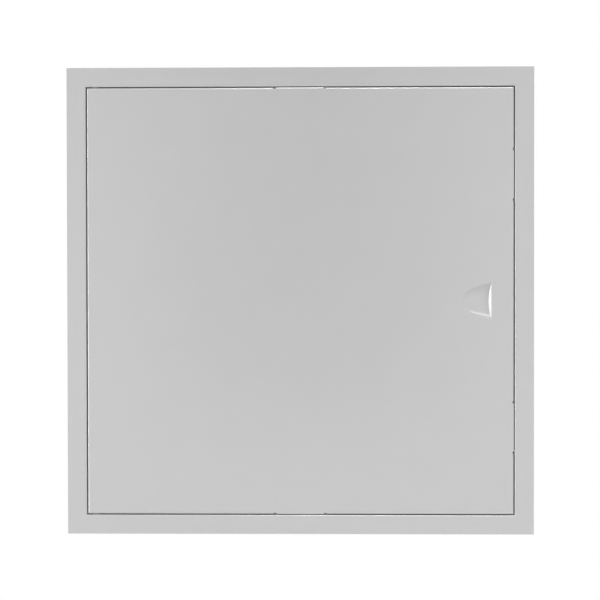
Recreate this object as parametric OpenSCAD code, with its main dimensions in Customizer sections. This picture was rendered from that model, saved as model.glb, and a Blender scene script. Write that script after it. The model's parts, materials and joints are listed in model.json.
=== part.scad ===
// Flush access panel: a folded sheet-steel door with a pressed finger pull, hung on two pins
// in a mitred picture frame and held shut by four magnetic catches.
// Millimetres. X runs from the hinge side to the latch side, Y runs from the face into the
// ceiling or wall, and Z runs up the face. The origin is the middle of the opening, on the
// plane where the frame's flange meets the surface that it is let into.

/* [Panel] */
// Overall width across the frame's flange
panel_w = 440; // [340:1:700]
// Overall height across the frame's flange
panel_h = 440; // [340:1:700]

/* [Frame] */
// Visible width of the frame's flange
flange_w = 18; // [14:0.5:40]
// Depth of the frame behind the surface
frame_depth = 26; // [24:0.5:50]
// Width of the lip that turns in along the frame's rear edge
rear_lip_w = 11; // [10.8:0.1:16]
// Thickness of the frame's sheet
frame_t = 0.8; // [0.6:0.1:1.2]
// Inside radius of the frame's folds
frame_fold_r = 0.3; // [0.2:0.1:1]
// Diameter of the fixing holes in the frame's walls
fix_hole_d = 4.5; // [3.5:0.1:6]
// Distance of a fixing hole from the opening's corner
fix_from_corner = 42; // [34:1:55]
// Depth of the fixing holes behind the surface
fix_setback = 18; // [16:0.5:20]

/* [Corner cleats] */
// Length of a cleat's leg
cleat_leg = 24; // [22:0.5:28]
// Width of a cleat
cleat_w = 12; // [9:0.5:13]
// Thickness of a cleat
cleat_t = 1.2; // [0.8:0.1:2]
// Depth of a cleat's front edge behind the surface
cleat_setback = 11; // [10:0.5:12]
// Diameter of a rivet's shank
rivet_d = 3.2; // [2.4:0.1:4]
// Diameter of a rivet's head
rivet_head_d = 6.2; // [5:0.1:7]
// Height of a rivet's domed head
rivet_head_h = 0.7; // [0.5:0.1:1]
// Diameter of a rivet's set tail
rivet_tail_d = 4.8; // [4.2:0.1:6]
// Height of a rivet's set tail
rivet_tail_h = 1.6; // [1:0.1:2.5]
// Distance of the first rivet from the opening's corner
rivet_from_corner = 8; // [6:0.5:9]
// Distance between a leg's two rivets
rivet_pitch = 9; // [8:0.5:11]

/* [Door] */
// Gap between the door and the frame, all round
door_gap = 1; // [0.8:0.1:3]
// Depth of the door's folded edges, from its face
door_depth = 14; // [12:0.5:15]
// Thickness of the door's sheet
door_t = 0.8; // [0.6:0.1:1]
// Inside radius of the door's folds
door_fold_r = 0.6; // [0.3:0.1:1]
// Width of the slit where two folded edges meet at a corner
corner_slit = 0.7; // [0.4:0.1:2]

/* [Keeper tabs] */
// Length of a keeper tab along the door's edge
tab_len = 45; // [36:1:60]
// Width of the keeper lip, folded in behind the door's edge
tab_lip = 10; // [9:0.1:12]
// How far a keeper tab stands out past the door's edge
tab_proud = 0.4; // [0.2:0.1:0.8]
// Length of the relief notch at each end of a keeper tab
notch_len = 2.6; // [1:0.1:4]
// How far a relief notch cuts into the door's edge
notch_cut = 1; // [0.8:0.1:2.5]

/* [Finger pull] */
// Distance from the door's free edge to the pull's slit
pull_from_edge = 21; // [15:0.5:40]
// Length of the pull from its nose to its slit
pull_len = 29; // [22:0.5:40]
// Height of the pull at its slit
pull_h = 34; // [28:0.5:50]
// Depth of the pull at its slit, below the door's face
pull_depth = 5; // [3.5:0.5:11]
// Width of the slit at its middle
slit_w = 2.3; // [1:0.1:4]
// How full the pull's nose is: the share of its ellipse's half-length that is pressed
pull_fullness = 0.55; // [0.45:0.01:0.9]
// How flat the pull's rim is: 0 is square to the face, and near 1 is nearly level with it
pull_flatness = 0.3; // [0.2:0.05:0.8]
// Radius of the pull's rolled rim, above and below the finger
pull_rim_r = 0.6; // [0.4:0.1:2]

/* [Hinge] */
// Distance from the door's hinge edge to the pin's axis
pin_inset = 8; // [6.5:0.1:12]
// Distance from the door's face back to the pin's axis
pin_setback = 4.5; // [4.3:0.1:5.5]
// Diameter of a hinge pin
pin_d = 4; // [3.5:0.1:4.5]
// Radial running clearance of a pin in its bush
pin_clearance = 0.05; // [0.02:0.01:0.1]
// Diameter of a pin's head
pin_head_d = 6.6; // [5.5:0.1:6.8]
// Thickness of a pin's head
pin_head_t = 1.5; // [1:0.1:3]
// How far a pin stands out past its retainer
pin_end = 1.2; // [0.8:0.1:2]
// Wall of a bush around its pin
bush_wall = 1; // [0.6:0.1:1.1]
// Width of a bush's rim past its wall
bush_rim = 0.5; // [0.3:0.1:0.6]
// Gap between a bush's rim and the door
bush_gap = 0.3; // [0.2:0.05:0.5]
// How far a bush stands out behind the frame's wall
bush_stand = 1; // [0.5:0.1:2]
// Diameter of a push-on pin retainer
retainer_d = 6.8; // [6:0.1:7]
// Thickness of a pin retainer
retainer_t = 0.7; // [0.4:0.1:1]
// Gap between a retainer and its bush
retainer_gap = 0.2; // [0.1:0.05:0.5]
// Length of the plate that backs the door's edge at a pin
hinge_plate_l = 22; // [16:0.5:30]
// Thickness of the hinge plate
hinge_plate_t = 1.2; // [0.8:0.1:2]

/* [Magnetic catches] */
// Distance from the opening's corner to the middle of a latch-side catch
catch_from_corner = 83; // [80:1:95]
// Length of a catch's housing, over its two ears
catch_len = 46; // [44:0.5:60]
// Width of a catch's housing
catch_w = 10.4; // [9.5:0.1:10.6]
// Thickness of a catch's ears
catch_ear_t = 5; // [4.5:0.1:6]
// Distance between a catch's two screws
catch_screw_pitch = 41; // [40:0.1:41.4]
// Diameter of a catch's screws
catch_screw_d = 2.9; // [2.2:0.1:3]
// Length of a catch's screws under the head
catch_screw_len = 5; // [3.5:0.1:5]
// Diameter of a catch screw's head
screw_head_d = 5.6; // [5:0.1:6]
// Height of a catch screw's head
screw_head_h = 1.6; // [1.2:0.1:2.5]
// Length of the magnet and of its pole plates
magnet_len = 33; // [28:0.5:33.5]
// Thickness of the magnet
magnet_t = 4; // [3:0.1:4.4]
// How far the magnet lies below the housing's rim
magnet_recess = 0.4; // [0.2:0.1:1]
// Thickness of a pole plate
pole_t = 1.2; // [0.8:0.1:1.4]
// How far the pole plates stand out of the housing
pole_proud = 0.6; // [0.3:0.1:1]
// Air gap between the pole plates and the keeper with the door shut
catch_gap = 0.2; // [0.1:0.05:0.4]

/* [Hidden] */
$fn = 64;
// What takes a cutting shape clear of the face that it cuts
cut = 1;
// Radial clearance of a fixed shank in its hole
shank_clearance = 0.03;
// Clearance between a catch's housing and the frame's wall, and around its magnet pack
seat_clearance = 0.1;

// Turns about Y that carry a latch-side piece to each side of the panel
LATCH = 0;
TOP = -90;
HINGE = 180;
BOTTOM = 90;

// The opening, the door in it and the plane of both faces
open_w = panel_w - 2 * flange_w;
open_h = panel_h - 2 * flange_w;
door_w = open_w - 2 * door_gap;
door_h = open_h - 2 * door_gap;
face_y = -frame_t;
door_back = face_y + door_t;
door_rear = face_y + door_depth;
frame_fold_outer = frame_fold_r + frame_t;
door_fold_outer = door_fold_r + door_t;
lip_front = frame_depth - frame_t;

// Hinge axis
pin_x = pin_inset - door_w / 2;
pin_y = face_y + pin_setback;
bush_d = pin_d + 2 * (pin_clearance + bush_wall);
bush_end = door_gap + frame_t + bush_stand;
retainer_base = bush_end + retainer_gap;
hinge_plate_base = -door_t - hinge_plate_t;
// Clear space around the hinge plate inside the door's folded edges
hinge_plate_margin = door_fold_r + 0.2;

// Rivets sit on the middle line of their cleat
rivet_y = cleat_setback + cleat_w / 2;
rivet_grip = frame_t + cleat_t;

// Catches: name, side, half of the opening across that side, place along it
catch_place = open_h / 2 - catch_from_corner;
CATCHES = [
    ["top", TOP, open_h / 2, 0],
    ["bottom", BOTTOM, open_h / 2, 0],
    ["latch_upper", LATCH, open_w / 2, catch_place],
    ["latch_lower", LATCH, open_w / 2, -catch_place],
];
catch_inset = seat_clearance + catch_w / 2;
catch_depth = lip_front - door_rear - catch_gap - pole_proud;
pocket_floor = 2;
pocket_depth = catch_depth - pocket_floor;
pocket_w = magnet_t + 2 * pole_t + 2 * seat_clearance;
pocket_len = magnet_len + 2 * seat_clearance;
// Wall of the housing around the pocket's ends
pocket_wall = 1.6;
catch_corner_r = 1.5;

// Finger pull: an ellipsoid set in front of the face, so that the face cuts it at a sloping rim
slit_x = door_w / 2 - pull_from_edge;
ellipse_half_len = pull_len / pull_fullness;
ellipse_half_h = pull_h / 2 / sqrt(1 - pow(1 - pull_fullness, 2));
pull_section = sqrt(1 - pow(pull_flatness, 2));
slit_section = sqrt(1 - pow((1 - pull_fullness) * pull_section, 2));
pull_axis_y = pull_depth / (slit_section - pull_flatness);
pull_axes = [ellipse_half_len / pull_section, pull_axis_y, ellipse_half_h / pull_section];
pull_centre = [
    slit_x + (1 - pull_fullness) * ellipse_half_len,
    face_y - pull_flatness * pull_axis_y,
    0,
];
// The rolled rim in the ellipsoid's own scale, as an arc that touches it and runs out to the face at a slight slope
rim_slope = 12;
rim_share = pull_rim_r / pull_axis_y;
rim_level = pull_flatness + rim_share * cos(rim_slope);
rim_centre = [sqrt(pow(1 + rim_share, 2) - pow(rim_level, 2)), rim_level];
// Radius of the curved lip that faces the slit
lip_r = (pow(pull_h / 2, 2) + pow(slit_w, 2)) / (2 * slit_w);

CORNERS = [
    ["top_left", -1, 1],
    ["top_right", 1, 1],
    ["bottom_left", -1, -1],
    ["bottom_right", 1, -1],
];
ENDS = [["upper", 1], ["lower", -1]];

function pair(v) = [-v, v];

// Turns a piece drawn on the latch side to another side
module side(turn) rotate([0, turn, 0]) children();

// Drawn from its rear face on the frame's lip, with X towards the wall and Z along the lip
module at_catch(c) side(c[1]) translate([c[2] - catch_inset, lip_front, c[3]]) children();

// Drawn on the pin's axis from the door's outer edge, with Z outwards
module at_hinge(end) mirror([0, 0, end > 0 ? 0 : 1]) translate([pin_x, pin_y, door_h / 2]) children();

module at_corner(sx, sz)
    mirror([sx > 0 ? 0 : 1, 0, 0])
        mirror([0, 0, sz > 0 ? 0 : 1])
            translate([open_w / 2 + frame_t, 0, open_h / 2 + frame_t]) children();

// A prism along +Y, drawn in the plane of the face
module prism_y(depth) rotate([90, 0, 0]) translate([0, 0, -depth]) linear_extrude(depth) children();

// Quarter of a folded sheet's section, between +X and +Y before its turn
module fold(r, t, turn)
    rotate(turn)
        intersection() {
            difference() {
                circle(r + t);
                circle(r);
            }
            square(r + t);
        }

module rounded_rect(w, l, r) {
    square([w, l - 2 * r], center = true);
    square([w - 2 * r, l], center = true);
    for (x = pair(w / 2 - r), y = pair(l / 2 - r)) translate([x, y]) circle(r);
}

// Section of a frame rail: flange, wall and rear lip, from the wall's inner face outwards
module rail_section() {
    wall_len = frame_depth - face_y - 2 * frame_fold_outer;
    translate([frame_fold_outer, face_y]) square([flange_w - frame_fold_outer, frame_t]);
    translate([frame_fold_outer, face_y + frame_fold_outer]) fold(frame_fold_r, frame_t, 180);
    translate([0, face_y + frame_fold_outer]) square([frame_t, wall_len]);
    translate([frame_t - frame_fold_outer, frame_depth - frame_fold_outer]) fold(frame_fold_r, frame_t, 0);
    translate([-rear_lip_w, lip_front]) square([rear_lip_w + frame_t - frame_fold_outer, frame_t]);
}

// The space between the two mitres of a rail
module mitre_space(half_u, half_v) {
    inner = -rear_lip_w - cut;
    outer = flange_w + cut;
    translate([0, face_y - cut, 0])
        prism_y(frame_depth - face_y + 2 * cut)
            polygon([
                [half_u + inner, -half_v - inner],
                [half_u + outer, -half_v - outer],
                [half_u + outer, half_v + outer],
                [half_u + inner, half_v + inner],
            ]);
}

// Holes through the wall are [place along the rail, depth, diameter], and those through the lip are places
module rail(half_u, half_v, wall_holes, lip_holes) {
    difference() {
        intersection() {
            linear_extrude(2 * (half_v + flange_w), center = true) translate([half_u, 0]) rail_section();
            mitre_space(half_u, half_v);
        }
        for (h = wall_holes)
            translate([half_u - cut, h[1], h[0]]) rotate([0, 90, 0]) cylinder(d = h[2], h = frame_t + 2 * cut);
        for (v = lip_holes)
            translate([half_u - catch_inset, lip_front - cut, v])
                rotate([-90, 0, 0]) cylinder(d = catch_screw_d + 2 * shank_clearance, h = frame_t + 2 * cut);
    }
}

function fix_holes(half_v) = [for (v = pair(half_v - fix_from_corner)) [v, fix_setback, fix_hole_d]];

function rivet_places(half_v) =
    [for (i = [0, 1], v = pair(half_v - rivet_from_corner - i * rivet_pitch)) v];

function rivet_holes(half_v) =
    [for (v = rivet_places(half_v)) [v, rivet_y, rivet_d + 2 * shank_clearance]];

function bush_hole(v) = [[v, pin_y, bush_d + 2 * shank_clearance]];

function screw_places(places) = [for (v = places, s = pair(catch_screw_pitch / 2)) v + s];

module frame_top_rail()
    color("gainsboro")
        side(TOP)
            rail(open_h / 2, open_w / 2,
                concat(fix_holes(open_w / 2), rivet_holes(open_w / 2), bush_hole(-pin_x)), screw_places([0]));

module frame_bottom_rail()
    color("gainsboro")
        side(BOTTOM)
            rail(open_h / 2, open_w / 2,
                concat(fix_holes(open_w / 2), rivet_holes(open_w / 2), bush_hole(pin_x)), screw_places([0]));

module frame_hinge_stile()
    color("gainsboro")
        side(HINGE)
            rail(open_w / 2, open_h / 2, concat(fix_holes(open_h / 2), rivet_holes(open_h / 2)), []);

module frame_latch_stile()
    color("gainsboro")
        side(LATCH)
            rail(open_w / 2, open_h / 2,
                concat(fix_holes(open_h / 2), rivet_holes(open_h / 2)), screw_places(pair(catch_place)));

// Angle cleat around the outside of a mitred corner, drawn from the corner of the frame's walls
module corner_cleat()
    color("silver")
        difference() {
            translate([0, cleat_setback, 0])
                prism_y(cleat_w) {
                    translate([-cleat_leg, 0]) square([cleat_leg, cleat_t]);
                    translate([0, -cleat_leg]) square([cleat_t, cleat_leg]);
                    intersection() {
                        circle(cleat_t);
                        square(cleat_t);
                    }
                }
            for (i = [0, 1]) {
                from_corner = -frame_t - rivet_from_corner - i * rivet_pitch;
                translate([from_corner, rivet_y, -cut])
                    cylinder(d = rivet_d + 2 * shank_clearance, h = cleat_t + 2 * cut);
                translate([-cut, rivet_y, from_corner])
                    rotate([0, 90, 0]) cylinder(d = rivet_d + 2 * shank_clearance, h = cleat_t + 2 * cut);
            }
        }

// Blind rivet along +Z from the wall's inner face: domed head, shank and set tail
module rivet() {
    dome_r = (pow(rivet_head_d / 2, 2) + pow(rivet_head_h, 2)) / (2 * rivet_head_h);
    intersection() {
        translate([0, 0, dome_r - rivet_head_h]) sphere(dome_r);
        translate([0, 0, -rivet_head_h]) cylinder(d = rivet_head_d, h = rivet_head_h);
    }
    cylinder(d = rivet_d, h = rivet_grip + rivet_tail_h);
    translate([0, 0, rivet_grip]) cylinder(d1 = rivet_tail_d, d2 = rivet_d, h = rivet_tail_h);
}

module corner_rivets()
    color("darkgray") {
        for (turn = [LATCH, HINGE], v = rivet_places(open_h / 2))
            side(turn) translate([open_w / 2, rivet_y, v]) rotate([0, 90, 0]) rivet();
        for (turn = [TOP, BOTTOM], v = rivet_places(open_w / 2))
            side(turn) translate([open_h / 2, rivet_y, v]) rotate([0, 90, 0]) rivet();
    }

// Rimmed plain bush, pressed through the frame's wall from inside
module hinge_bush()
    color("gray")
        difference() {
            union() {
                translate([0, 0, bush_gap]) cylinder(d = bush_d + 2 * bush_rim, h = door_gap - bush_gap);
                translate([0, 0, bush_gap]) cylinder(d = bush_d, h = bush_end - bush_gap);
            }
            translate([0, 0, bush_gap - cut])
                cylinder(d = pin_d + 2 * pin_clearance, h = bush_end - bush_gap + 2 * cut);
        }

module hinge_pin()
    color("silver") {
        tip = retainer_base + retainer_t + pin_end;
        tip_chamfer = 0.6;
        translate([0, 0, hinge_plate_base - pin_head_t]) cylinder(d = pin_head_d, h = pin_head_t);
        translate([0, 0, hinge_plate_base]) cylinder(d = pin_d, h = tip - tip_chamfer - hinge_plate_base);
        translate([0, 0, tip - tip_chamfer])
            cylinder(d1 = pin_d, d2 = pin_d - 2 * tip_chamfer, h = tip_chamfer);
    }

// Push-on washer whose slotted tongues bite the pin
module pin_retainer()
    color("darkgray")
        translate([0, 0, retainer_base])
            linear_extrude(retainer_t)
                difference() {
                    tongues = 6;
                    tongue_reach = (pin_d + retainer_d) / 4;
                    tongue_slit = 0.7;
                    circle(d = retainer_d);
                    circle(d = pin_d + 2 * shank_clearance);
                    for (i = [1:tongues])
                        rotate(360 * i / tongues)
                            translate([0, -tongue_slit / 2]) square([tongue_reach, tongue_slit]);
                }

// Plate welded inside the door's folded edge, so that the pin bears on more than one sheet
module hinge_plate() {
    corner_r = 2;
    left = -(pin_inset - door_t - hinge_plate_margin);
    front = door_back + hinge_plate_margin - pin_y;
    plate_w = door_rear - hinge_plate_margin - pin_y - front;
    color("silver")
        translate([0, 0, hinge_plate_base])
            difference() {
                translate([left + hinge_plate_l / 2, front + plate_w / 2, 0])
                    linear_extrude(hinge_plate_t) rounded_rect(hinge_plate_l, plate_w, corner_r);
                translate([0, 0, -cut]) cylinder(d = pin_d + 2 * shank_clearance, h = hinge_plate_t + 2 * cut);
            }
}

// Moulded housing: a block with a pocket open to the door, between two lower ears
module catch_housing()
    color("dimgray")
        difference() {
            union() {
                translate([0, -catch_ear_t, 0]) prism_y(catch_ear_t) rounded_rect(catch_w, catch_len, catch_corner_r);
                translate([0, -catch_depth, 0])
                    prism_y(catch_depth)
                        rounded_rect(catch_w, pocket_len + 2 * pocket_wall, catch_corner_r);
            }
            translate([-pocket_w / 2, -catch_depth - cut, -pocket_len / 2])
                cube([pocket_w, pocket_depth + cut, pocket_len]);
            for (s = pair(catch_screw_pitch / 2))
                translate([0, -catch_ear_t - cut, s])
                    rotate([-90, 0, 0])
                        cylinder(d = catch_screw_d + 2 * shank_clearance, h = catch_ear_t + 2 * cut);
        }

module catch_magnet()
    color("dimgray")
        translate([-magnet_t / 2, magnet_recess - catch_depth, -magnet_len / 2])
            cube([magnet_t, pocket_depth - magnet_recess, magnet_len]);

module catch_poles()
    color("silver")
        for (x = [-magnet_t / 2 - pole_t, magnet_t / 2])
            translate([x, -catch_depth - pole_proud, -magnet_len / 2])
                cube([pole_t, pocket_depth + pole_proud, magnet_len]);

// Pan-head screw along -Y, drawn from the underside of its head, with a cross recess
module catch_screw() {
    recess_l = screw_head_d * 0.6;
    recess_w = 0.8;
    recess_deep = screw_head_h * 0.6;
    difference() {
        union() {
            rotate([90, 0, 0]) cylinder(d = catch_screw_d, h = catch_screw_len);
            rotate([-90, 0, 0]) cylinder(d = screw_head_d, h = screw_head_h / 2);
            translate([0, screw_head_h / 2, 0])
                rotate([-90, 0, 0])
                    cylinder(d1 = screw_head_d, d2 = screw_head_d - screw_head_h, h = screw_head_h / 2);
        }
        for (turn = [0, 90])
            rotate([0, turn, 0])
                translate([-recess_l / 2, screw_head_h - recess_deep, -recess_w / 2])
                    cube([recess_l, recess_deep + cut, recess_w]);
    }
}

module catch_screws()
    color("silver")
        for (c = CATCHES, s = pair(catch_screw_pitch / 2))
            at_catch(c) translate([0, frame_t, s]) catch_screw();

// Section of the door across one axis: square behind, with its two front edges rounded
module pan_section(w, front, rear, r) {
    translate([-w / 2, front + r]) square([w, rear - front - r]);
    translate([r - w / 2, front]) square([w - 2 * r, r]);
    for (x = pair(w / 2 - r)) translate([x, front + r]) circle(r);
}

module pan_block(w, h, front, rear, r)
    intersection() {
        linear_extrude(h, center = true) pan_section(w, front, rear, r);
        side(TOP) linear_extrude(w, center = true) pan_section(h, front, rear, r);
    }

module door_pan()
    difference() {
        pan_block(door_w, door_h, face_y, door_rear, door_fold_outer);
        pan_block(door_w - 2 * door_t, door_h - 2 * door_t, door_back, door_rear + cut, door_fold_r);
    }

// Slits behind the front folds, where two folded edges meet
module corner_slits() {
    size = door_t + corner_slit;
    for (x = pair(door_w / 2), z = pair(door_h / 2))
        translate([x - size, face_y + door_fold_outer, z - size])
            cube([2 * size, door_depth + cut, 2 * size]);
}

// Drawn on the door's edge where a catch is, with X outwards and Z along the edge
module at_tab(c) side(c[1]) translate([c[2] - door_gap, 0, c[3]]) children();

module tab_gap() {
    gap_len = tab_len + 2 * notch_len;
    translate([-notch_cut, face_y - cut, -gap_len / 2])
        cube([notch_cut + cut, door_depth + 2 * cut, gap_len]);
}

// Section of a keeper tab: a strip of the face, the edge folded back and the keeper lip folded in
module tab_section() {
    fold_x = tab_proud - door_fold_outer;
    root = -2 * notch_cut;
    translate([root, face_y]) square([fold_x - root, door_t]);
    translate([fold_x, face_y + door_fold_outer]) fold(door_fold_r, door_t, -90);
    translate([tab_proud - door_t, face_y + door_fold_outer])
        square([door_t, door_depth - 2 * door_fold_outer]);
    translate([fold_x, door_rear - door_fold_outer]) fold(door_fold_r, door_t, 0);
    translate([tab_proud - tab_lip, door_rear - door_t]) square([fold_x - tab_proud + tab_lip, door_t]);
}

// Half of the hollow's section in the ellipsoid's own scale, opened out at the face by the rolled rim
module pull_profile() {
    touch = rim_centre / (1 + rim_share);
    intersection() {
        circle(1);
        translate([0, -1]) square([1, 2]);
    }
    difference() {
        polygon([[0, 0], [rim_centre.x, 0], rim_centre, touch, [0, touch.y]]);
        translate(rim_centre) circle(rim_share);
    }
}

// Everything on the nose's side of the slit, from a plane behind the face
module nose_side(from_y) {
    reach = pull_len + pull_h;
    translate([slit_x - reach, from_y, -reach / 2]) cube([reach, pull_depth + reach, reach]);
}

module pull_shell()
    intersection() {
        translate(pull_centre) scale([for (a = pull_axes) a + door_t]) sphere(1);
        nose_side(face_y + door_t / 2);
    }

// The hollow that the finger goes into, and the slit along the lip's curve
module pull_hollow()
    intersection() {
        union() {
            translate(pull_centre) scale(pull_axes) rotate([-90, 0, 0]) rotate_extrude() pull_profile();
            translate([slit_x - slit_w + lip_r, face_y - cut, 0])
                rotate([-90, 0, 0]) cylinder(r = lip_r, h = pull_depth + 2 * door_t + 2 * cut);
        }
        nose_side(face_y - cut);
    }

module door_leaf()
    color("gainsboro")
        difference() {
            union() {
                difference() {
                    door_pan();
                    corner_slits();
                    for (c = CATCHES) at_tab(c) tab_gap();
                }
                for (c = CATCHES) at_tab(c) linear_extrude(tab_len, center = true) tab_section();
                pull_shell();
            }
            pull_hollow();
            for (e = ENDS)
                at_hinge(e[1])
                    translate([0, 0, -door_t - cut])
                        cylinder(d = pin_d + 2 * shank_clearance, h = door_t + 2 * cut);
        }

frame_top_rail();
frame_bottom_rail();
frame_hinge_stile();
frame_latch_stile();
for (c = CORNERS)
    at_corner(c[1], c[2]) corner_cleat();
corner_rivets();
for (e = ENDS) {
    at_hinge(e[1]) hinge_bush();
    at_hinge(e[1]) hinge_plate();
    at_hinge(e[1]) hinge_pin();
    at_hinge(e[1]) pin_retainer();
}
for (c = CATCHES) {
    at_catch(c) catch_housing();
    at_catch(c) catch_magnet();
    at_catch(c) catch_poles();
}
catch_screws();
door_leaf();
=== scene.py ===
"""Finishes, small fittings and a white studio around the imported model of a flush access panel."""

import json
import math

import bmesh
import bpy
from bpy.props import FloatProperty, FloatVectorProperty, PointerProperty
from mathutils import Matrix, Quaternion, Vector


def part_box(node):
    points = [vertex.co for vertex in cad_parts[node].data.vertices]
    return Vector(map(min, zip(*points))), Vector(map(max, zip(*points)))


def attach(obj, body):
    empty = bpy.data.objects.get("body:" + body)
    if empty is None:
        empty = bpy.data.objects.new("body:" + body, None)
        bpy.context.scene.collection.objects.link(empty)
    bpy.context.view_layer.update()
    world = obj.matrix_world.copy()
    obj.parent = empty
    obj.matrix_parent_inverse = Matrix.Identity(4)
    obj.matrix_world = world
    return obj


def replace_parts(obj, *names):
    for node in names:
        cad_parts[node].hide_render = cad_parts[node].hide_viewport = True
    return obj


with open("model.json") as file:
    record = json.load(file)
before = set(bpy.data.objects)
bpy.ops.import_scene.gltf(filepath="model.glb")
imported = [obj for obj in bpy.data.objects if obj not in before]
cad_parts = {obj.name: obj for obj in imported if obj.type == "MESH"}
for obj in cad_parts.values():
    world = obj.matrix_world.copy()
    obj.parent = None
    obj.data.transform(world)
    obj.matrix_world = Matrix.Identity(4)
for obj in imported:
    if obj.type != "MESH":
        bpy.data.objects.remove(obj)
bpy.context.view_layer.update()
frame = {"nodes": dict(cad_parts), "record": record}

bl_info = {
    "name": "Flush Access Panel",
    "version": (1, 1, 0),
    "blender": (4, 5, 0),
    "location": "View3D > Sidebar > Access Panel",
    "description": "Dresses a hinged flush access panel and sets it in a plain white studio",
    "category": "Object",
}

NODES = frame["nodes"]
RECORD = frame["record"]
BODY = {node: body for body, nodes in RECORD["behaviour"]["bodies"].items() for node in nodes}

# Profiles below are in millimetres
MM = 0.001
# Points of a mesh that are nearer than this are one point
WELD = 0.000001
# Faces that turn by less than this are one flat face
FLAT = math.radians(0.5)
# Edges that turn by more than this stay sharp, or are softened where a piece says so
SHARP = math.radians(32.0)
# Steps across a softened edge
SOFT_STEPS = 2
# Sides of a turned piece and of the floor's rim
TURNED_SIDES = 48
FLOOR_SIDES = 96
# A spin leaves points and faces in a new order each run, so they are sorted along this direction
ORDER = Vector((0.62, 0.75, 0.22))

# Height of a blind rivet's head over the wall
RIVET_HEAD = 0.7
# Blind rivet from the middle of its head to the middle of its tail, with height 0 on the wall:
# the dome round the mandrel's dimple, the shank, and the bulged tail round the mandrel's end
RIVET_PROFILE = (
    (0.0, -0.33), (0.5, -0.31), (0.66, -0.36), (0.74, -0.52), (0.8, -0.63), (0.9, -0.655),
    (1.4, -0.565), (2.0, -0.425), (2.5, -0.255), (2.85, -0.14), (3.04, -0.08), (3.1, -0.03),
    (3.08, 0.0),
    (1.6, 0.01), (1.6, 2.0),
    (2.2, 2.0), (2.38, 2.16), (2.36, 2.4), (2.15, 2.75), (1.85, 3.05), (1.66, 3.3),
    (1.58, 3.5), (1.45, 3.58), (1.25, 3.56), (1.15, 3.45), (1.02, 3.42), (0.95, 3.52),
    (0.7, 3.59), (0.0, 3.6),
)

# Spot weld's mark, from its dished middle over its raised rim into the plate
WELD_MARK_PROFILE = (
    (0.0, 0.02), (1.1, 0.03), (1.55, 0.06), (1.8, 0.12), (1.95, 0.14), (2.12, 0.12),
    (2.3, 0.04), (2.4, -0.1), (0.0, -0.1),
)
# Places of the marks from the plate's free end
WELD_MARK_PLACES = (4.0, 9.6)

# Hinge pin from the middle of its head to its shank
PIN_HEAD_PROFILE = (
    (0.0, 0.1), (0.25, 0.12), (0.6, 0.02), (0.8, 0.0), (2.9, 0.0), (3.16, 0.08), (3.3, 0.3),
    (3.3, 1.22), (3.24, 1.4), (3.1, 1.5), (2.0, 1.5),
)
# Hinge pin's tip, with heights counted from its end
PIN_TIP_PROFILE = (
    (2.0, -0.68), (1.94, -0.56), (1.48, -0.08), (1.36, 0.0), (0.35, 0.0), (0.0, 0.06),
)

# Radius of the pin in a retainer, how far the tongues are dished out, and where they bend
PIN_RADIUS = 2.0
TONGUE_LIFT = 0.32
TONGUE_ROOT = 2.7

# Finishes: levels are shares of a colour's brightness that a pattern goes between, a spread is
# how much rougher a pattern makes the surface, a span is the size of a coarse pattern in units
# of the fine one, and depths are in metres
COAT_LEVELS = (0.985, 1.015)
COAT_ROUGHNESS = 0.2
COAT_SPREAD = 0.06
COAT_IOR = 1.75
FILM_SPAN = 12
ZINC_LEVELS = (0.86, 1.12)
ZINC_ROUGHNESS = 0.14
ZINC_SPREAD = 0.05
SCRATCH_STRETCH = (1.0, 12.0, 1.0)
SCRATCH_DEPTH = 0.000008
METAL_LEVELS = (0.88, 1.1)
METAL_SPREAD = 0.16
STAIN_SPAN = 10
MOULDED_LEVELS = (0.8, 1.6)
MOULDED_SPREAD = 0.2
CLOUD_SPAN = 12
MATT = 0.9

# Plain metals: roughness, stretch of their marks along each axis, and the marks' depth
EVEN = (1.0, 1.0, 1.0)
METALS = {
    "rivet_alloy": (0.22, EVEN, 0.000006),
    "turned_steel": (0.32, (0.1, 0.1, 4.0), 0.00001),
    "phosphated_steel": (0.5, EVEN, 0.000006),
    "nickel_plate": (0.3, (1.0, 8.0, 1.0), 0.000004),
}
# Moulded finishes: roughness and depth of the grain
MOULDINGS = {
    "nylon": (0.5, 0.000006),
    "catch_plastic": (0.5, 0.00002),
    "ferrite": (0.62, 0.00002),
}

# Soft boxes that light the panel but don't show in its gloss: place, width, height and power
FILLS = {
    "front_box": ((0.0, -2.0, 0.3), 1.5, 1.0, 7.9),
    "overhead_box": ((0.05, -1.6, 2.6), 0.75, 0.25, 22.0),
    "left_box": ((-0.6, -0.35, -0.1), 0.4, 0.4, 0.77),
    "right_box": ((0.62, -0.42, -0.1), 0.5, 0.5, 0.76),
    "low_box": ((0.1, -0.35, -0.6), 0.4, 0.4, 0.46),
    "rear_box": ((-0.3, 2.0, 0.5), 1.5, 1.0, 15.0),
}
# Strips that show only as glints on folds and rims: place, width, height and power
GLINTS = {
    "overhead_strip": ((0.15, -1.6, 2.6), 0.9, 0.25, 80.0),
    "overhead_right_strip": ((1.3, -1.6, 2.3), 0.7, 0.3, 8.0),
    "left_strip": ((-1.9, -1.3, -0.05), 0.25, 1.6, 40.0),
}
# Dark card behind the camera, which dulls the gloss of what faces it: place, width and height
CARD = ((-0.04, -1.9, 0.18), 0.5, 0.8)
# Shares of the floor's radius between which it fades
FLOOR_FADE = (0.45, 0.98)


def nodes_named(start):
    """Names of the CAD nodes that begin with a word, in a fixed order."""
    return sorted(name for name in NODES if name.startswith(start))


# Settings that a user would change


def colour_setting(name, description, default):
    """A colour in linear light."""
    return FloatVectorProperty(
        name=name, description=description, default=default,
        subtype="COLOR", size=3, min=0.0, max=1.0,
    )


def length_setting(name, description, default):
    """A length in metres."""
    return FloatProperty(
        name=name, description=description, default=default,
        min=0.0, precision=6, subtype="DISTANCE", unit="LENGTH",
    )


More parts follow.
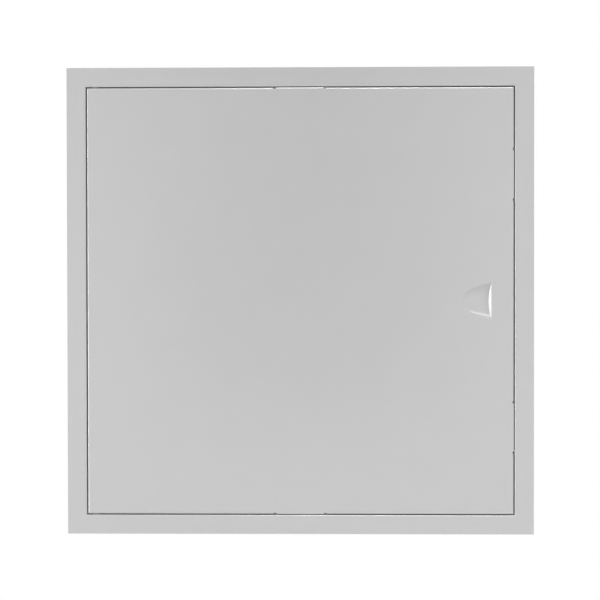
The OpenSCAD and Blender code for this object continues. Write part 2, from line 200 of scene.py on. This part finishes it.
def place_setting(name, description, default):
    """A point in the panel's frame."""
    return FloatVectorProperty(
        name=name, description=description, default=default, size=3, subtype="TRANSLATION",
    )


def angle_setting(name, description, default):
    """An angle, with its default in degrees."""
    return FloatProperty(
        name=name, description=description, default=math.radians(default), subtype="ANGLE",
    )


def level_setting(name, description, default):
    """A strength of light."""
    return FloatProperty(name=name, description=description, default=default, min=0.0)


class PanelColours(bpy.types.PropertyGroup):
    """Colours of the panel's finishes, in linear light."""

    coat: colour_setting("Powder coat", "Coated sheet of the frame and the door", (0.53, 0.531, 0.531))
    zinc: colour_setting("Zinc plate", "Cleats, hinge plates and screws", (0.58, 0.60, 0.62))
    tint: colour_setting("Weld tint", "Zinc that a spot weld has burnt", (0.38, 0.355, 0.33))
    alloy: colour_setting("Rivet alloy", "Blind rivets", (0.68, 0.68, 0.69))
    nylon: colour_setting("Nylon", "Hinge bushes", (0.30, 0.30, 0.29))
    plastic: colour_setting("Catch plastic", "Housings of the magnetic catches", (0.028, 0.028, 0.031))
    ferrite: colour_setting("Ferrite", "Magnets", (0.045, 0.045, 0.05))
    nickel: colour_setting("Nickel plate", "Pole plates of the catches", (0.56, 0.54, 0.50))
    steel: colour_setting("Turned steel", "Hinge pins", (0.54, 0.54, 0.55))
    phosphate: colour_setting("Phosphated steel", "Pin retainers", (0.11, 0.11, 0.115))
    floor: colour_setting("Floor", "Plain pale floor below the panel", (0.86, 0.86, 0.86))
    card: colour_setting("Card", "Dark card behind the camera", (0.02, 0.02, 0.02))


class PanelSizes(bpy.types.PropertyGroup):
    """Sizes of the softened edges and of the finishes' texture."""

    moulded_edge: length_setting("Moulded edge", "Rounding of the catch housings' edges", 0.0003)
    plate_edge: length_setting("Plate edge", "Rounding of cut plates, screws and bushes", 0.00012)
    peel_length: length_setting("Peel length", "Length of a wave of the coat's orange peel", 0.0024)
    peel_height: length_setting("Peel height", "Height of the coat's orange peel", 0.000011)
    spangle: length_setting("Spangle", "Size of a crystal in the zinc", 0.004)
    grain: length_setting("Grain", "Size of the moulded grain on the catches", 0.0006)
    tool_mark: length_setting("Tool mark", "Pitch of the marks on turned and ground metal", 0.0005)


class PanelStudio(bpy.types.PropertyGroup):
    """The camera, the light and the floor."""

    eye: place_setting("Eye", "Where the camera stands", (0.0447, -1.8, 0.0365))
    aim: place_setting("Aim", "Point that the camera looks at", (0.0, 0.0, 0.0011))
    roll: angle_setting("Roll", "Turn of the camera about its view", -0.075)
    view: angle_setting("View", "Width of the camera's view", 17.85)
    ambient: level_setting("Ambient", "Light from all round, where 1 shows a colour as written", 0.45)
    fills: level_setting("Fills", "Strength of all the soft boxes", 1.0)
    glints: level_setting("Glints", "Strength of all the strips", 1.0)
    floor_drop: length_setting("Floor drop", "How far the floor lies below the panel's middle", 0.8)
    floor_radius: length_setting("Floor radius", "Where the floor has faded into the background", 2.6)


def settings():
    """The three groups of settings on the scene: colours, sizes and studio."""
    scene = bpy.context.scene
    return scene.panel_colours, scene.panel_sizes, scene.panel_studio


# Shader expressions


class Socket:
    """A node's output. Arithmetic on it adds Math nodes to its tree."""

    def __init__(self, tree, output):
        self.tree = tree
        self.output = output

    def __add__(self, other):
        return self.tree.math("ADD", self, other)

    def __radd__(self, other):
        return self.tree.math("ADD", other, self)

    def __sub__(self, other):
        return self.tree.math("SUBTRACT", self, other)

    def __rsub__(self, other):
        return self.tree.math("SUBTRACT", other, self)

    def __mul__(self, other):
        return self.tree.math("MULTIPLY", self, other)

    def __rmul__(self, other):
        return self.tree.math("MULTIPLY", other, self)


class NodeTree:
    """A shader tree that is written as expressions on its sockets."""

    def __init__(self, tree):
        self.nodes = tree.nodes
        self.links = tree.links

    def node(self, kind, options=None, sockets=None, output=0):
        """Adds a node, sets its options, feeds its sockets and returns one of its outputs."""
        made = self.nodes.new(kind)
        for name, value in (options or {}).items():
            setattr(made, name, value)
        for name, value in (sockets or {}).items():
            self.feed(made.inputs[name], value)
        return Socket(self, made.outputs[output])

    def feed(self, target, value):
        """Links a socket to an input, or sets the input to a value."""
        if isinstance(value, Socket):
            self.links.new(value.output, target)
        else:
            target.default_value = value

    def math(self, operation, *values):
        """A Math node on values or sockets."""
        return self.node("ShaderNodeMath", {"operation": operation}, dict(enumerate(values)))

    def smooth(self, value, low, high):
        """0 below low, 1 above high and an even curve between them."""
        options = {"interpolation_type": "SMOOTHSTEP"}
        sockets = {"Value": value, "From Min": low, "From Max": high}
        return self.node("ShaderNodeMapRange", options, sockets)

    def mix(self, share, first, second):
        """A colour between two, given as colours or sockets."""
        return self.node("ShaderNodeMix", {"data_type": "RGBA"}, {0: share, 6: first, 7: second}, 2)

    def vary(self, share, colour, levels):
        """A colour that goes from one level of its brightness to another."""
        first, second = levels
        return self.mix(share, shade(colour, first), shade(colour, second))

    def place(self, stretch=EVEN):
        """Object coordinates, stretched along each axis."""
        at = self.node("ShaderNodeTexCoord", output="Object")
        return self.node("ShaderNodeMapping", None, {"Vector": at, "Scale": stretch})

    def noise(self, at, size, detail=2.0):
        """Noise with waves of about a size, from 0 to 1."""
        sockets = {"Vector": at, "Scale": 1.0 / size, "Detail": detail}
        return self.node("ShaderNodeTexNoise", None, sockets)

    def bump(self, height, distance):
        """A normal that follows a height from 0 to 1, in metres at 1."""
        return self.node("ShaderNodeBump", None, {"Height": height, "Distance": distance})


class Finish(NodeTree):
    """A material with one Principled shader."""

    def __init__(self, name):
        self.material = bpy.data.materials.new(name)
        self.material.use_nodes = True
        super().__init__(self.material.node_tree)

    def set(self, inputs):
        """Feeds the shader's named inputs and returns the material."""
        shader = self.nodes["Principled BSDF"]
        for name, value in inputs.items():
            self.feed(shader.inputs[name], value)
        return self.material


def shade(colour, level):
    """An opaque colour at a share of its brightness."""
    return tuple(min(1.0, part * level) for part in colour) + (1.0,)


# Finishes


def powder_coat(colour, sizes):
    """Semi-gloss powder coat: fine orange peel and a barely uneven film."""
    finish = Finish("powder_coat")
    at = finish.place()
    peel = finish.noise(at, sizes.peel_length)
    film = finish.noise(at, FILM_SPAN * sizes.peel_length, detail=4.0)
    return finish.set({
        "Base Color": finish.vary(film, colour, COAT_LEVELS),
        "Roughness": COAT_ROUGHNESS + COAT_SPREAD * film,
        "IOR": COAT_IOR,
        "Normal": finish.bump(peel, sizes.peel_height),
    })


def zinc_plate(name, colour, sizes):
    """Bright zinc with a faint spangle and rolled-in scratches."""
    finish = Finish(name)
    spangle = {"Vector": finish.place(), "Scale": 1.0 / sizes.spangle}
    crystals = finish.node("ShaderNodeTexVoronoi", None, spangle, "Color")
    crystal = finish.node("ShaderNodeSeparateColor", None, {"Color": crystals})
    scratch = finish.noise(finish.place(SCRATCH_STRETCH), sizes.spangle, detail=3.0)
    return finish.set({
        "Base Color": finish.vary(crystal, colour, ZINC_LEVELS),
        "Roughness": ZINC_ROUGHNESS + ZINC_SPREAD * crystal + ZINC_SPREAD * scratch,
        "Normal": finish.bump(scratch, SCRATCH_DEPTH),
        "Metallic": 1.0,
    })


def plain_metal(name, colour, size):
    """Bare or plated metal with marks of a size, drawn out along an axis."""
    roughness, stretch, depth = METALS[name]
    finish = Finish(name)
    marks = finish.noise(finish.place(stretch), size, detail=3.0)
    stain = finish.noise(finish.place(), STAIN_SPAN * size)
    return finish.set({
        "Base Color": finish.vary(stain, colour, METAL_LEVELS),
        "Roughness": roughness - METAL_SPREAD / 2 + METAL_SPREAD * marks,
        "Normal": finish.bump(marks, depth),
        "Metallic": 1.0,
    })


def moulded(name, colour, grain):
    """Moulded plastic or pressed ceramic with an even grain."""
    roughness, depth = MOULDINGS[name]
    finish = Finish(name)
    at = finish.place()
    pits = finish.noise(at, grain, detail=3.0)
    cloud = finish.noise(at, CLOUD_SPAN * grain)
    return finish.set({
        "Base Color": finish.vary(cloud * pits, colour, MOULDED_LEVELS),
        "Roughness": roughness - MOULDED_SPREAD / 2 + MOULDED_SPREAD * pits,
        "Normal": finish.bump(pits, depth),
    })


# Shapes


def copied(name, whole=True):
    """A CAD node's shape with its loose triangles joined, and its flat faces made whole if asked."""
    shape = bmesh.new()
    shape.from_mesh(NODES[name].data)
    bmesh.ops.remove_doubles(shape, verts=shape.verts, dist=WELD)
    if whole:
        bmesh.ops.dissolve_limit(shape, angle_limit=FLAT, verts=shape.verts, edges=shape.edges)
    return shape


def turned(profile):
    """A solid turned about Z from points of radius and height in millimetres, from axis to axis."""
    shape = bmesh.new()
    points = [shape.verts.new((radius * MM, 0.0, height * MM)) for radius, height in profile]
    lines = [shape.edges.new(ends) for ends in zip(points, points[1:])]
    bmesh.ops.spin(
        shape, geom=points + lines, cent=(0.0, 0.0, 0.0), axis=(0.0, 0.0, 1.0),
        dvec=(0.0, 0.0, 0.0), angle=math.tau, steps=TURNED_SIDES, use_merge=True,
    )
    bmesh.ops.remove_doubles(shape, verts=shape.verts, dist=WELD)
    bmesh.ops.recalc_face_normals(shape, faces=shape.faces)
    shape.verts.sort(key=lambda vert: vert.co.dot(ORDER))
    shape.faces.sort(key=lambda face: face.calc_center_median().dot(ORDER))
    return shape


def repeated(shape, places):
    """A shape set at many places, given as matrices, in one mesh."""
    pattern = bpy.data.meshes.new("pattern")
    shape.to_mesh(pattern)
    shape.free()
    group = bmesh.new()
    for place in places:
        before = len(group.verts)
        group.from_mesh(pattern)
        group.verts.ensure_lookup_table()
        bmesh.ops.transform(group, matrix=place, verts=group.verts[before:])
    bpy.data.meshes.remove(pattern)
    return group


def aimed(base, direction):
    """The place of a shape that is drawn along Z, set on a point and turned along a direction."""
    return Matrix.Translation(base) @ direction.to_track_quat("Z", "Y").to_matrix().to_4x4()


def solid_boxes(name):
    """Lowest and highest corners of each separate solid in a CAD node."""
    shape = copied(name, whole=False)
    seen = set()
    boxes = []
    for first in shape.verts:
        if first in seen:
            continue
        seen.add(first)
        found = [first]
        for vert in found:
            for edge in vert.link_edges:
                other = edge.other_vert(vert)
                if other not in seen:
                    seen.add(other)
                    found.append(other)
        along = list(zip(*(vert.co for vert in found)))
        boxes.append((Vector(map(min, along)), Vector(map(max, along))))
    shape.free()
    return boxes


def node_box(name):
    """Lowest and highest corners of a CAD node at rest."""
    low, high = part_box(name)
    return Vector(low), Vector(high)


def dress(names, material):
    """Gives CAD nodes a finish."""
    for name in names:
        for slot in NODES[name].material_slots:
            slot.material = material


def new_object(name, shape, material):
    """A shape as a new object in the scene, with one finish."""
    mesh = bpy.data.meshes.new(name)
    shape.to_mesh(mesh)
    shape.free()
    mesh.materials.append(material)
    made = bpy.data.objects.new(name, mesh)
    bpy.context.scene.collection.objects.link(made)
    return made


def add_piece(name, shape, material, node, soft=0.0):
    """Makes a piece that rides with a CAD node, with its sharp edges softened by a width."""
    piece = new_object(name, shape, material)
    piece.data.shade_smooth()
    piece.data.set_sharp_from_angle(angle=SHARP)
    if soft:
        bevel = piece.modifiers.new("soft_edges", "BEVEL")
        bevel.width = soft
        bevel.segments = SOFT_STEPS
        bevel.limit_method = "ANGLE"
        bevel.angle_limit = SHARP
        bevel.harden_normals = True
    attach(piece, BODY[node])
    return piece


def soften(names, material, width):
    """Replaces CAD nodes by copies with softened edges."""
    for name in names:
        piece = add_piece(f"{name}_soft", copied(name), material, name, width)
        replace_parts(piece, name)


# Operators, one for each group of like pieces


class PANEL_OT_frame_rails(bpy.types.Operator):
    """Powder-coat the frame's four rails"""

    bl_idname = "panel.frame_rails"
    bl_label = "Frame rails"

    def execute(self, context):
        colours, sizes, _ = settings()
        dress(nodes_named("frame_"), powder_coat(colours.coat, sizes))
        return {"FINISHED"}


class PANEL_OT_door_leaf(bpy.types.Operator):
    """Powder-coat the door's leaf with its finger pull"""

    bl_idname = "panel.door_leaf"
    bl_label = "Door leaf"

    def execute(self, context):
        colours, sizes, _ = settings()
        dress(["door_leaf"], powder_coat(colours.coat, sizes))
        return {"FINISHED"}


class PANEL_OT_corner_cleats(bpy.types.Operator):
    """Make the zinc-plated angle cleats at the corners"""

    bl_idname = "panel.corner_cleats"
    bl_label = "Corner cleats"

    def execute(self, context):
        colours, sizes, _ = settings()
        zinc = zinc_plate("cleat_zinc", colours.zinc, sizes)
        soften(nodes_named("corner_cleat"), zinc, sizes.plate_edge)
        return {"FINISHED"}


class PANEL_OT_corner_rivets(bpy.types.Operator):
    """Make the corner cleats' blind rivets, each with its broken-off mandrel"""

    bl_idname = "panel.corner_rivets"
    bl_label = "Corner rivets"

    def execute(self, context):
        colours, sizes, _ = settings()
        alloy = plain_metal("rivet_alloy", colours.alloy, sizes.tool_mark)
        places = [self.place(*box) for box in solid_boxes("corner_rivets")]
        rivets = repeated(turned(RIVET_PROFILE), places)
        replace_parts(add_piece("blind_rivets", rivets, alloy, "corner_rivets"), "corner_rivets")
        return {"FINISHED"}

    def place(self, low, high):
        """A rivet goes outwards through the nearest wall, with its head inside the frame."""
        base = (low + high) / 2
        axis = 0 if abs(base.x) > abs(base.z) else 2
        outwards = Vector((0.0, 0.0, 0.0))
        outwards[axis] = math.copysign(1.0, base[axis])
        inner_end = low[axis] if outwards[axis] > 0 else high[axis]
        base[axis] = inner_end + outwards[axis] * RIVET_HEAD * MM
        return aimed(base, outwards)


class PANEL_OT_hinge_bushes(bpy.types.Operator):
    """Make the nylon bushes that the hinge pins turn in"""

    bl_idname = "panel.hinge_bushes"
    bl_label = "Hinge bushes"

    def execute(self, context):
        colours, sizes, _ = settings()
        nylon = moulded("nylon", colours.nylon, sizes.grain)
        soften(nodes_named("hinge_bush"), nylon, sizes.plate_edge)
        return {"FINISHED"}


class PANEL_OT_hinge_plates(bpy.types.Operator):
    """Make the hinge plates and the marks of their spot welds"""

    bl_idname = "panel.hinge_plates"
    bl_label = "Hinge plates"

    def execute(self, context):
        colours, sizes, _ = settings()
        names = nodes_named("hinge_plate")
        soften(names, zinc_plate("plate_zinc", colours.zinc, sizes), sizes.plate_edge)
        tinted = zinc_plate("weld_tint", colours.tint, sizes)
        for name in names:
            marks = repeated(turned(WELD_MARK_PROFILE), self.places(*node_box(name)))
            add_piece(f"{name}_welds", marks, tinted, name)
        return {"FINISHED"}

    def places(self, low, high):
        """Spot welds lie along the middle of the plate's inner face."""
        upper = low.z > 0
        inner = low.z if upper else high.z
        inwards = Vector((0.0, 0.0, -1.0 if upper else 1.0))
        middle = (low.y + high.y) / 2
        along = [high.x - place * MM for place in WELD_MARK_PLACES]
        return [aimed(Vector((x, middle, inner)), inwards) for x in along]


class PANEL_OT_hinge_pins(bpy.types.Operator):
    """Make the turned hinge pins"""

    bl_idname = "panel.hinge_pins"
    bl_label = "Hinge pins"

    def execute(self, context):
        colours, sizes, _ = settings()
        steel = plain_metal("turned_steel", colours.steel, sizes.tool_mark)
        for name in nodes_named("hinge_pin"):
            low, high = node_box(name)
            length = (high.z - low.z) / MM
            tip = tuple((radius, length + height) for radius, height in PIN_TIP_PROFILE)
            pin = turned(PIN_HEAD_PROFILE + tip)
            upper = low.z > 0
            head = (low + high) / 2
            head.z = low.z if upper else high.z
            outwards = Vector((0.0, 0.0, 1.0 if upper else -1.0))
            bmesh.ops.transform(pin, matrix=aimed(head, outwards), verts=pin.verts)
            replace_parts(add_piece(f"{name}_turned", pin, steel, name), name)
        return {"FINISHED"}


class PANEL_OT_pin_retainers(bpy.types.Operator):
    """Make the push-on retainers, with their tongues dished against the pins"""

    bl_idname = "panel.pin_retainers"
    bl_label = "Pin retainers"

    def execute(self, context):
        colours, sizes, _ = settings()
        spring = plain_metal("phosphated_steel", colours.phosphate, sizes.tool_mark)
        edge = sizes.plate_edge / 2
        for name in nodes_named("pin_retainer"):
            shape = copied(name, whole=False)
            self.dish(shape, *node_box(name))
            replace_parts(add_piece(f"{name}_dished", shape, spring, name, edge), name)
        return {"FINISHED"}

    def dish(self, shape, low, high):
        """Lifts what is nearer to the pin than the tongues' roots, in step with the nearness."""
        middle = (low + high) / 2
        outwards = math.copysign(TONGUE_LIFT * MM, middle.z)
        root = TONGUE_ROOT * MM
        full = 1.0 - PIN_RADIUS / TONGUE_ROOT
        for vert in shape.verts:
            radius = math.hypot(vert.co.x - middle.x, vert.co.y - middle.y)
            vert.co.z += outwards * max(0.0, 1.0 - radius / root) / full


class PANEL_OT_catch_housings(bpy.types.Operator):
    """Make the moulded housings of the magnetic catches"""

    bl_idname = "panel.catch_housings"
    bl_label = "Catch housings"

    def execute(self, context):
        colours, sizes, _ = settings()
        plastic = moulded("catch_plastic", colours.plastic, sizes.grain)
        soften(nodes_named("catch_housing"), plastic, sizes.moulded_edge)
        return {"FINISHED"}


class PANEL_OT_catch_magnets(bpy.types.Operator):
    """Make the catches' ferrite magnets and their pole plates"""

    bl_idname = "panel.catch_magnets"
    bl_label = "Catch magnets"

    def execute(self, context):
        colours, sizes, _ = settings()
        ferrite = moulded("ferrite", colours.ferrite, sizes.grain)
        soften(nodes_named("catch_magnet"), ferrite, sizes.moulded_edge)
        nickel = plain_metal("nickel_plate", colours.nickel, sizes.tool_mark)
        soften(nodes_named("catch_poles"), nickel, sizes.plate_edge)
        return {"FINISHED"}


class PANEL_OT_catch_screws(bpy.types.Operator):
    """Make the catches' pan-head screws"""

    bl_idname = "panel.catch_screws"
    bl_label = "Catch screws"

    def execute(self, context):
        colours, sizes, _ = settings()
        zinc = zinc_plate("screw_zinc", colours.zinc, sizes)
        soften(["catch_screws"], zinc, sizes.plate_edge)
        return {"FINISHED"}


class PANEL_OT_studio(bpy.types.Operator):
    """Set up the camera, the light, the white background and the floor"""

    bl_idname = "panel.studio"
    bl_label = "Studio"

    def execute(self, context):
        colours, _, studio = settings()
        context.scene.view_settings.view_transform = "Standard"
        self.camera(context.scene, studio)
        self.world(context.scene, studio)
        for name, lamp in FILLS.items():
            self.lamp(context.scene, name, *lamp, studio.fills).visible_glossy = False
        for name, lamp in GLINTS.items():
            self.lamp(context.scene, name, *lamp, studio.glints).visible_diffuse = False
        self.card(colours, *CARD)
        self.floor(colours, studio)
        return {"FINISHED"}

    def camera(self, scene, studio):
        """A long lens a little above and beside the panel's middle."""
        lens = bpy.data.cameras.new("camera")
        lens.angle = studio.view
        camera = bpy.data.objects.new("camera", lens)
        scene.collection.objects.link(camera)
        eye = Vector(studio.eye)
        turn = (Vector(studio.aim) - eye).to_track_quat("-Z", "Y")
        camera.rotation_euler = (turn @ Quaternion((0.0, 0.0, 1.0), studio.roll)).to_euler()
        camera.location = eye
        scene.camera = camera

    def world(self, scene, studio):
        """White to the camera and in reflections, and a plain level of light for everything else."""
        world = bpy.data.worlds.new("studio")
        world.use_nodes = True
        scene.world = world
        tree = NodeTree(world.node_tree)
        path = tree.nodes.new("ShaderNodeLightPath")
        rays = ("Is Camera Ray", "Is Glossy Ray", "Is Transmission Ray")
        seen = tree.math("MINIMUM", sum(Socket(tree, path.outputs[ray]) for ray in rays), 1.0)
        white = (1.0, 1.0, 1.0)
        level = tree.vary(seen, white, (studio.ambient, 1.0))
        tree.feed(tree.nodes["Background"].inputs["Color"], level)

    def lamp(self, scene, name, place, width, height, power, level):
        """A soft box or strip that faces the panel's middle."""
        light = bpy.data.lights.new(name, "AREA")
        light.shape = "ELLIPSE"
        light.size = width
        light.size_y = height
        light.energy = power * level
        lamp = bpy.data.objects.new(name, light)
        scene.collection.objects.link(lamp)
        lamp.location = place
        lamp.rotation_euler = (-Vector(place)).to_track_quat("-Z", "Y").to_euler()
        return lamp

    def card(self, colours, place, width, height):
        """A dark card that stands square to the panel and shows only in its gloss."""
        shape = bmesh.new()
        half_metre = 0.5
        bmesh.ops.create_grid(shape, x_segments=1, y_segments=1, size=half_metre)
        stand = Matrix.Translation(place) @ Matrix.Rotation(math.pi / 2, 4, "X")
        spread = Matrix.Diagonal((width, height, 1.0, 1.0))
        bmesh.ops.transform(shape, matrix=stand @ spread, verts=shape.verts)
        dark = Finish("card").set({"Base Color": shade(colours.card, 1.0), "Roughness": MATT})
        card = new_object("card", shape, dark)
        card.visible_camera = False
        card.visible_diffuse = False
        card.visible_shadow = False

    def floor(self, colours, studio):
        """A pale disc that fades into the white background towards its rim."""
        radius = studio.floor_radius
        shape = bmesh.new()
        bmesh.ops.create_circle(shape, cap_ends=True, segments=FLOOR_SIDES, radius=radius)
        bmesh.ops.translate(shape, verts=shape.verts, vec=(0.0, 0.0, -studio.floor_drop))
        finish = Finish("floor")
        level = finish.place((1.0, 1.0, 0.0))
        out = finish.node("ShaderNodeVectorMath", {"operation": "LENGTH"}, {0: level}, "Value")
        start, end = (share * radius for share in FLOOR_FADE)
        pale = finish.set({
            "Base Color": shade(colours.floor, 1.0),
            "Roughness": MATT,
            "Alpha": 1.0 - finish.smooth(out, start, end),
        })
        floor = new_object("floor", shape, pale)


class PANEL_PT_sidebar(bpy.types.Panel):
    """Lists the steps that dress the panel"""

    bl_label = "Access panel"
    bl_idname = "PANEL_PT_sidebar"
    bl_space_type = "VIEW_3D"
    bl_region_type = "UI"
    bl_category = "Access Panel"

    def draw(self, context):
        """A button for each step, and then every setting."""
        for step in STEPS:
            self.layout.operator(step.bl_idname)
        for group in settings():
            for name in group.__annotations__:
                self.layout.prop(group, name)


STEPS = (
    PANEL_OT_studio,
    PANEL_OT_frame_rails,
    PANEL_OT_door_leaf,
    PANEL_OT_corner_cleats,
    PANEL_OT_corner_rivets,
    PANEL_OT_hinge_bushes,
    PANEL_OT_hinge_plates,
    PANEL_OT_hinge_pins,
    PANEL_OT_pin_retainers,
    PANEL_OT_catch_housings,
    PANEL_OT_catch_magnets,
    PANEL_OT_catch_screws,
)
GROUPS = {"panel_colours": PanelColours, "panel_sizes": PanelSizes, "panel_studio": PanelStudio}


def register():
    """Adds the settings, the steps and the sidebar."""
    for name, group in GROUPS.items():
        bpy.utils.register_class(group)
        setattr(bpy.types.Scene, name, PointerProperty(type=group))
    for part in STEPS + (PANEL_PT_sidebar,):
        bpy.utils.register_class(part)


def unregister():
    """Takes out what register added."""
    for part in reversed(STEPS + (PANEL_PT_sidebar,)):
        bpy.utils.unregister_class(part)
    for name, group in reversed(GROUPS.items()):
        delattr(bpy.types.Scene, name)
        bpy.utils.unregister_class(group)


def main():
    """Runs every step in order."""
    register()
    for step in STEPS:
        area, name = step.bl_idname.split(".")
        getattr(getattr(bpy.ops, area), name)()


if __name__ == "__main__":
    main()
